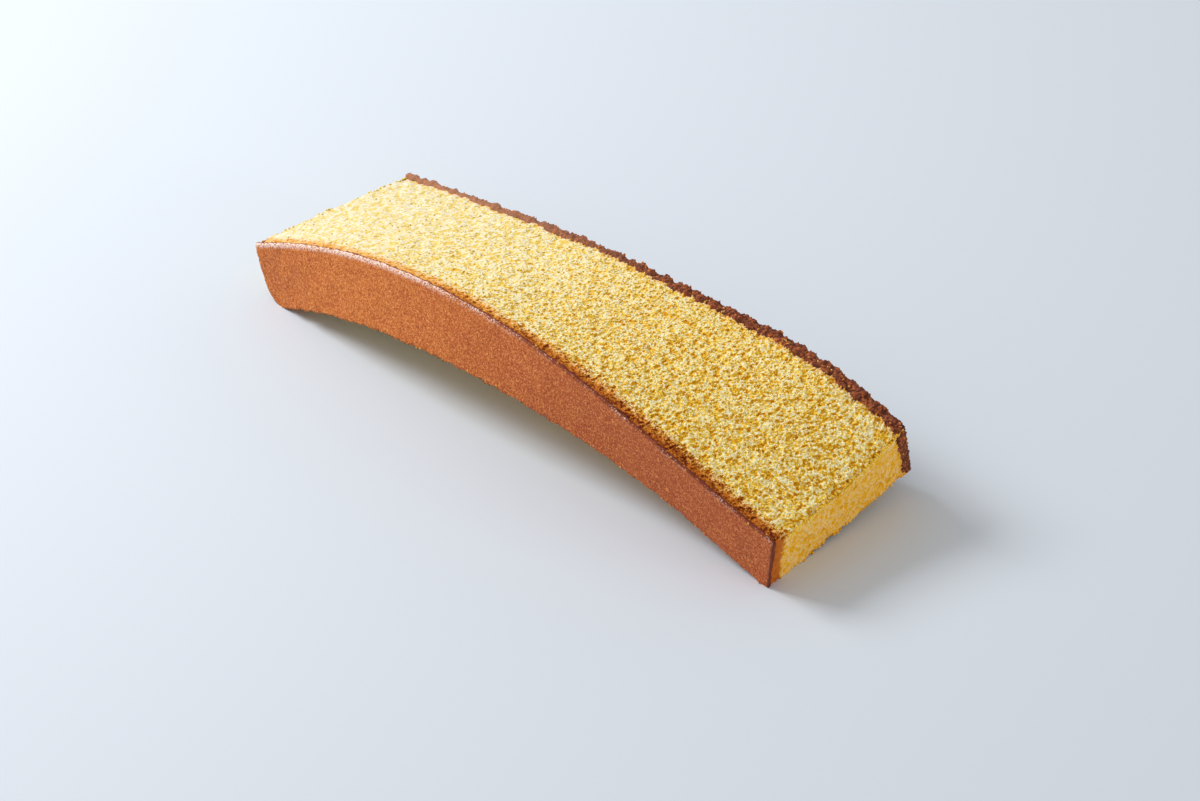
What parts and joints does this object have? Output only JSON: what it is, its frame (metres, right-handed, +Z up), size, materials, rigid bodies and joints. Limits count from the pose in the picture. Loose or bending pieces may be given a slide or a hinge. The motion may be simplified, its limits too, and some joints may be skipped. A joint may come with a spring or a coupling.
{
  "type": "castella sponge cake slice",
  "caption": "Long slice of castella sponge cake lying on its cut side in a gentle bow, with golden crumb, a smooth brown skin and a rough brown base crust.",
  "frame": {"origin": "middle of the slice's own box, on the surface it lies on", "axes": "+X along the slice towards its right end, -Y towards the loaf's smooth browned top, +Y towards its rough browned base, +Z up"},
  "size_m": [0.2718, 0.0768, 0.0462],
  "materials": {
    "sponge": "matt, open sponge crumb, golden yellow"
  },
  "bodies": {
    "root": {"castella_slice": "sponge"}
  },
  "joints": []
}
